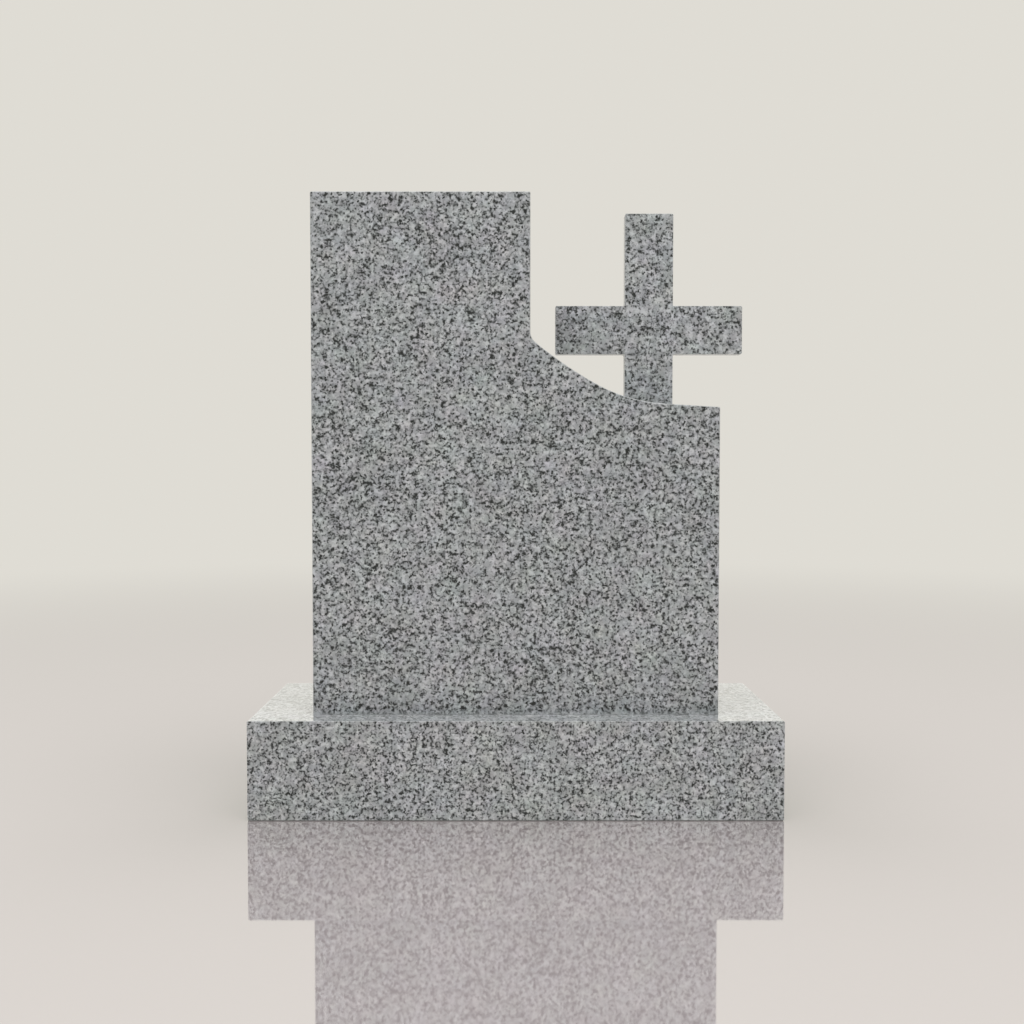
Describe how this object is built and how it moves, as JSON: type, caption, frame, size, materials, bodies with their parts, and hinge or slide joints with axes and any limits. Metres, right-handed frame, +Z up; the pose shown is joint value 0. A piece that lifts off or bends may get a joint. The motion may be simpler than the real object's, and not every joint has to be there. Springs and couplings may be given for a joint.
{
  "type": "cross memorial",
  "caption": "Grave memorial of polished grey granite: a stepped tablet with a hollow curved cut stands on a plinth, and a Latin cross stands on its shoulder.",
  "frame": {"origin": "middle of the plinth's underside, on the ground it stands on", "axes": "+Z up, -Y out of the front of the tablet, +X towards the side the cross stands on"},
  "size_m": [0.8, 0.3, 0.9408],
  "materials": {
    "plinth_granite": "polished light grey granite with dark flecks",
    "tablet_granite": "polished light grey granite with dark flecks",
    "cross_granite": "polished light grey granite with dark flecks"
  },
  "bodies": {
    "root": {"plinth": "plinth_granite", "tablet": "tablet_granite", "cross": "cross_granite"}
  },
  "joints": []
}
